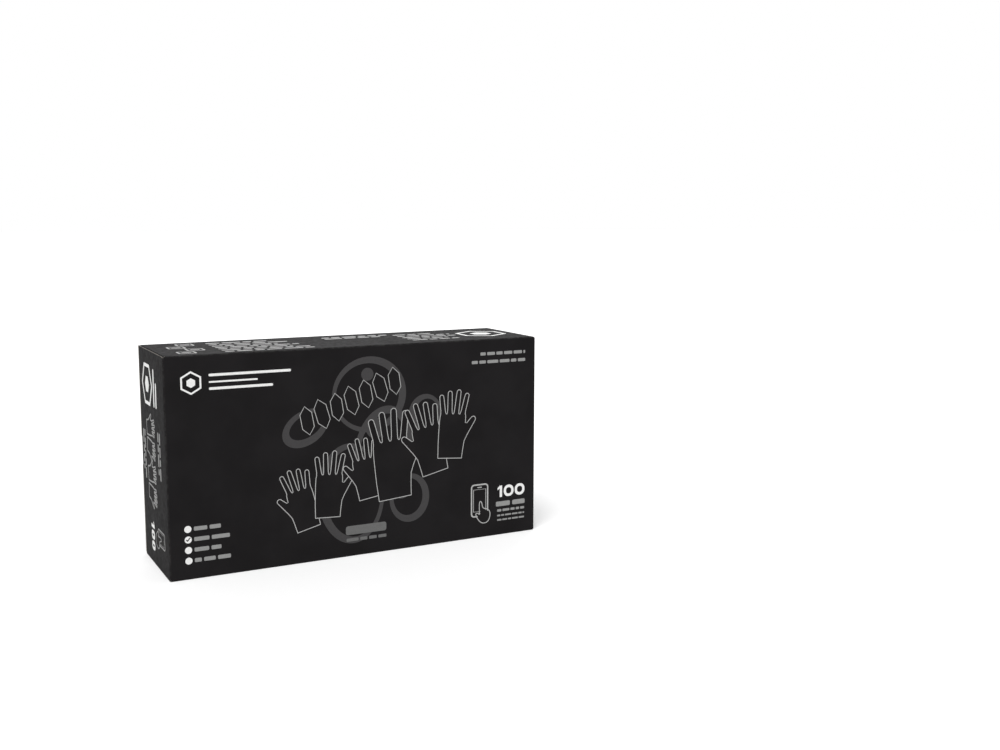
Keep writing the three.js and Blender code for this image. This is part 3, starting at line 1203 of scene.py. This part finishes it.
# from the fingertip's left side clockwise; the tip is near (0, 0)
TAPPING_HAND = [
    (-0.9, -1.0), (0, 0.4), (1.1, -0.8), (1.6, -4.6), (5.2, -5.4), (7.2, -7.4), (7.0, -11.5),
    (5.0, -14.6), (0.6, -14.6), (-2.6, -10.6), (-3.6, -7.6), (-2.0, -7.4), (-0.6, -8.8),
]


def phone_and_hand(x, y, height):
    """A telephone with a hand that taps it: (the phone's shapes, the hand's outline, what
    the hand hides of the phone)."""
    width = height * 0.56

    def across(*shares):
        return [x + width * share for share in shares]

    def up(*shares):
        return [y + height * share for share in shares]

    phone = [
        band(round_rectangle(*across(0, 1), *up(0, 1), height * 0.09, 4), height * 0.045),
        [round_rectangle(*across(0.36, 0.64), *up(0.90, 0.93), height * 0.012, 2)],
        [polygon(*across(0.5), *up(0.075), height * 0.03, 12)],
        band(rectangle(*across(0.12, 0.88), *up(0.15, 0.85)), height * 0.02),
    ]
    hand = smoothed(moved(TAPPING_HAND, *across(0.55), *up(0.46)))
    gap = band(hand, 1.5)[0]
    return phone, hand, [[gap]]


FRONT_LINES = ((118.1, 1.5, -46.0), (114.1, 1.0, -66.0), (110.3, 1.5, -57.0))  # z, height, end
DISC_LINES = ((29.8, -90.1), (23.6, -85.0), (17.4, -90.1), (11.1, -84.7))  # z, the label's end
DISC_X, DISC_RADIUS = -109.1, 2.05
TICK = [(-1.3, -0.1), (-0.4, -1.1), (1.5, 1.0), (1.0, 1.4), (-0.4, -0.2), (-0.9, 0.35)]
RIGHT_LINES = (  # start, z, height
    (79.5, 120.6, 2.0), (73.3, 115.4, 2.0), (92.0, 16.4, 1.6), (92.0, 13.0, 1.1), (92.0, 10.0, 1.1),
)
RINGS = (
    (3.3, 100.0, 24.2, 23.4, 0, 200), (-38.0, 82.6, 15.2, 10.4, 28, 60),
    (40.5, 84.7, 11.6, 13.0, 0, 30), (-9.5, 39.5, 21.6, 31.5, 4, 20),
    (29.3, 32.5, 13.6, 15.6, 0, 140), (12.0, 66.0, 18.8, 26.6, -12, 250),
)
DARK_DISCS = ((7, 79, 6.5), (24, 38, 5.5), (2, 112.5, 4))  # x, z, radius


def print_front_text():
    rng = random.Random(5)
    marks = hexagon_mark(-104.6, 114.2, 6.2, 1.15)
    for z, height, end in FRONT_LINES:
        marks.append([round_rectangle(-94.5, end, z - height / 2, z + height / 2, height * 0.49)])
    marks += [[polygon(DISC_X, z, DISC_RADIUS, 32)] for z, _ in DISC_LINES]
    marks += hundred(92.3, 25.3, 20.4, 7.7, 1.75)
    tick = moved(TICK, DISC_X, DISC_LINES[1][0])
    printed("front", "white_print", [(marks, [[tick]])], WHITE)

    labels = []
    for z, end in DISC_LINES:
        labels += bars(-105.7, end, z - 1.2, z + 1.2, rng)
    labels += bars(91.0, 112.7, 19.2, 22.4, rng)
    for start, z, height in RIGHT_LINES:
        labels += bars(start, 112.4, z - height / 2, z + height / 2, rng)
    printed("front", "text_bars", [(labels, ())], LIGHT_GREY)
    phone, hand, gap = phone_and_hand(73.1, 14.3, 21.0)
    printed("front", "phone_print", [(phone, gap), ([band(hand, 0.55)], ())], OUTLINE_GREY)
    low_lines = bars(-13.4, 13.4, 13.6, 19.2, rng) + bars(-13.0, 13.4, 9.4, 11.4, rng)
    printed("front", "low_text_bars", [(low_lines, ())], MID_GREY, lift=2 * INK_LIFT)


def print_front_picture():
    """A row of hexagons and a row of gloves, with rings and discs behind them."""
    small = rising_row((-36.8, 87.0), (19.8, 107.3), 7, (10, 16, 8, 13), (1.0, 1.06, 0.98, 1.04))
    large = rising_row((-43.0, 39.5), (61.0, 77.0), 6, (14, -3, 9, 5, 13, -5),
                       (1.02, 1.08, 1.02, 1.5, 1.24, 1.16))
    small_groups, small_covers = overlapping(tall_hexagons(small, 7.4, 17.6), 0.42)
    large_groups, large_covers = overlapping(glove_signs(large, 38.0), 0.45)
    printed("front", "outlines", small_groups + large_groups, OUTLINE_GREY)
    behind = [brush_ring(*ring) for ring in RINGS]
    behind += [[polygon(x, z, radius, 40)] for x, z, radius in DARK_DISCS]
    printed("front", "rings", [(behind, small_covers + large_covers)], DARK_GREY)


def print_end(side):
    """Much the same as on the front, smaller and a quarter turn to the right."""
    rng = random.Random(7)
    face = f"{side}_end"
    marks = [band(polygon(-10.5, 109.0, 13.0, 6), 2.4), [polygon(-10.5, 109.0, 5.4, 6)]]
    for a, tall in ((6.0, 22.5), (11.5, 15.0)):
        marks.append([round_rectangle(a, a + 2.6, 97.5, 97.5 + tall, 1.2)])
    marks += turned_right(hundred(0, 0, 18.0, 8.5, 2.1), -13.0, 26.0)
    printed(face, "white_print", [(marks, ())], WHITE)
    places = [(-4.5, 84.5 - 14.0 * i, turn - 90, 1.0) for i, turn in enumerate((5, -5, 6, -4))]
    groups, _ = overlapping(glove_signs(places, 22.0), 0.9)
    text = []
    for a, length in ((13.5, 25), (17.5, 28), (-23.0, 30), (-27.0, 25)):
        text += turned_right(bars(0, length, 0, 2.3, rng), a, 84.0 if a > 0 else 80.0)
    phone, hand, gap = phone_and_hand(0, 0, 17.0)
    for shapes, cuts in ((phone, gap), ([band(hand, 0.7)], ())):
        groups.append((turned_right(shapes, 5.5, 25.0), turned_right(cuts, 5.5, 25.0)))
    printed(face, "grey_print", [*groups, (text, ())], LIGHT_GREY)


def print_top():
    rng = random.Random(9)
    printed("top", "white_print", [(hexagon_mark(97.0, 0.5, 16.0, 2.6), ())], WHITE)
    text = []
    for i, start in enumerate((-24, -11, 2, 15)):
        x = -108.0 + 8.0 * (i % 2)
        text.append(band(round_rectangle(x, x + 9.5, start, start + 9.5, 1.5), 1.1))
        text += bars(x + 2, x + 7.5, start + 3.6, start + 5.9, rng)
    for y in (20, 12.5, 5, -2.5, -10, -17.5, -25):
        text += bars(-82.0, rng.uniform(-44, -26), y, y + 2.9, rng)
    text += bars(-8.0, 37.0, 18.5, 21.6, rng) + bars(-8.0, 30.0, 12.5, 15.4, rng)
    for y in (15, 7, -1, -9, -17):
        text += bars(40.0, rng.uniform(66, 78), y, y + 2.9, rng)
    printed("top", "text_bars", [(text, ())], OUTLINE_GREY)


def print_back():
    rng = random.Random(13)
    printed("back", "white_print", [(hexagon_mark(0.0, 113.0, 7.5, 1.2), ())], WHITE)
    text = bars(-60.0, -14.0, 111.8, 114.2, rng) + bars(14.0, 60.0, 111.8, 114.2, rng)
    text += bars(-40.0, 40.0, 18.0, 20.4, rng) + bars(-32.0, 32.0, 12.6, 14.6, rng)
    printed("back", "text_bars", [(text, ())], LIGHT_GREY)


def print_bottom():
    rng = random.Random(17)
    printed("bottom", "white_print", [(hexagon_mark(-92.0, 0.0, 11.0, 1.5), ())], WHITE)
    text = []
    for y in (14, 7, 0, -7, -14):
        text += bars(-66.0, rng.uniform(10, 60), y, y + 2.2, rng)
    printed("bottom", "text_bars", [(text, ())], LIGHT_GREY)


print_front_text()
print_front_picture()
for side in SIDES:
    print_end(side)
print_top()
print_back()
print_bottom()

# ---- camera, light, floor
EYE = (-0.2572, -0.6803, 0.2093)
LOOK_AZIMUTH, LOOK_ELEVATION, LOOK_ROLL = -28.47, 7.97, 0.21
LENS = 41.4
ROOM_LIGHT = 0.38
FLOOR_HALF = 12.0
BACK_LIGHT = Vector((0.9, 1.7, 1.15))
BACK_LIGHT_AIM = Vector((0.0, 0.0, 0.06))


def aimed(thing, place, direction):
    thing.location = place
    thing.rotation_mode = "QUATERNION"
    thing.rotation_quaternion = direction.to_track_quat("-Z", "Y")


def inwards(azimuth, elevation):
    """The direction that faces the middle from a place at these angles."""
    azimuth, elevation = math.radians(azimuth), math.radians(elevation)
    level = math.cos(elevation)
    return Vector((-math.sin(azimuth) * level, math.cos(azimuth) * level, -math.sin(elevation)))


def make_camera():
    data = bpy.data.cameras.new("camera")
    data.lens = LENS
    data.sensor_width = 36.0
    data.clip_start = 0.01
    data.clip_end = 50.0
    camera = add_object("camera", data)
    aimed(camera, EYE, inwards(LOOK_AZIMUTH, LOOK_ELEVATION))
    camera.rotation_quaternion @= Quaternion((0, 0, 1), math.radians(LOOK_ROLL))
    bpy.context.scene.camera = camera


def make_light(name, kind, watts, place, direction, **settings):
    data = bpy.data.lights.new(name, kind)
    data.energy = watts
    for key, value in settings.items():
        setattr(data, key, value)
    aimed(add_object(name, data), place, direction)


def make_floor():
    mesh = bpy.data.meshes.new("floor")
    corners = rectangle(-FLOOR_HALF, FLOOR_HALF, -FLOOR_HALF, FLOOR_HALF)
    mesh.from_pydata([(x, y, 0) for x, y in corners], [], [(0, 1, 2, 3)])
    mesh.materials.append(Nodes("floor").finish((0.90, 0.90, 0.90), 0.9, specular=0.0))
    add_object("floor", mesh)


def make_world():
    """White behind the object, and a dimmer room round it."""
    world = bpy.data.worlds.new("studio")
    world.use_nodes = True
    tree = world.node_tree
    background = tree.nodes["Background"]
    background.inputs["Color"].default_value = (1.0, 1.0, 1.0, 1)
    path = tree.nodes.new("ShaderNodeLightPath")
    strength = tree.nodes.new("ShaderNodeMapRange")
    strength.inputs["To Min"].default_value = ROOM_LIGHT
    tree.links.new(path.outputs["Is Camera Ray"], strength.inputs["Value"])
    tree.links.new(strength.outputs[0], background.inputs["Strength"])
    bpy.context.scene.world = world
    bpy.context.scene.view_settings.view_transform = "Standard"


make_camera()
make_floor()
make_world()
# a distant soft light over the whole floor, and a large one behind the carton
make_light("overhead", "SUN", 2.9, (0, 0, 0), inwards(-35, 62), angle=math.radians(40))
make_light("back", "AREA", 16, BACK_LIGHT, BACK_LIGHT_AIM - BACK_LIGHT,
           shape="RECTANGLE", size=1.8, size_y=0.9)
